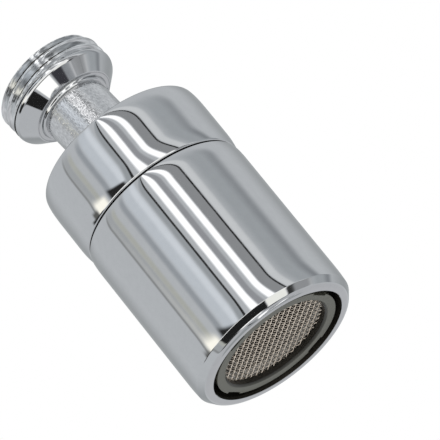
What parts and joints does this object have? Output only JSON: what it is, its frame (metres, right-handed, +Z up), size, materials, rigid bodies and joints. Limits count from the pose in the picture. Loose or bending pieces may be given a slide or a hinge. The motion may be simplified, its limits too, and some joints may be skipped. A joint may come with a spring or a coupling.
{
  "type": "swivel tap aerator",
  "caption": "Chromed swivel tap aerator: a male-threaded head on a ball stem that turns and tilts in a two-part round housing with a mesh screen in its outlet.",
  "frame": {"origin": "centre of the outlet lip, on the plane that the part stands on", "axes": "+Z up the housing's axis towards the threaded inlet; the stem leans towards +X at rest"},
  "size_m": [0.032, 0.032, 0.068],
  "materials": {
    "chrome": "polished chrome plate on brass",
    "brass": "turned brass",
    "acetal": "moulded acetal",
    "rubber": "moulded nitrile rubber",
    "grey_plastic": "olive-grey moulded plastic",
    "white_plastic": "moulded plastic",
    "steel_mesh": "woven stainless wire"
  },
  "bodies": {
    "housing": {"upper_cap": "chrome", "outlet_sleeve": "chrome", "seal_retainer": "brass", "thrust_washer": "acetal", "cartridge_gasket": "rubber", "cartridge_body": "grey_plastic", "inlet_strainer": "white_plastic", "jet_plate": "white_plastic", "mixing_ring": "grey_plastic", "upper_screen": "steel_mesh", "upper_spacer": "white_plastic", "middle_screen": "steel_mesh", "lower_spacer": "white_plastic", "outlet_screen": "steel_mesh"},
    "seal": {"ball_seal": "rubber"},
    "bearing": {"bearing_ring": "acetal"},
    "connector": {"thread_head": "chrome", "ball_stem": "chrome"}
  },
  "joints": [
    {"name": "swivel", "type": "hinge", "parent": "housing", "child": "seal", "pos_m": [0, 0, 0.04038], "axis": [0, 0, 1], "continuous": true},
    {"name": "tilt", "type": "hinge", "parent": "seal", "child": "bearing", "pos_m": [0, 0, 0.04038], "axis": [0, 1, 0], "range_deg": [-20.5, 9.5]},
    {"name": "stem_turn", "type": "hinge", "parent": "bearing", "child": "connector", "pos_m": [0, 0, 0.04038], "axis": [0.0958, 0, 0.9954], "continuous": true}
  ]
}
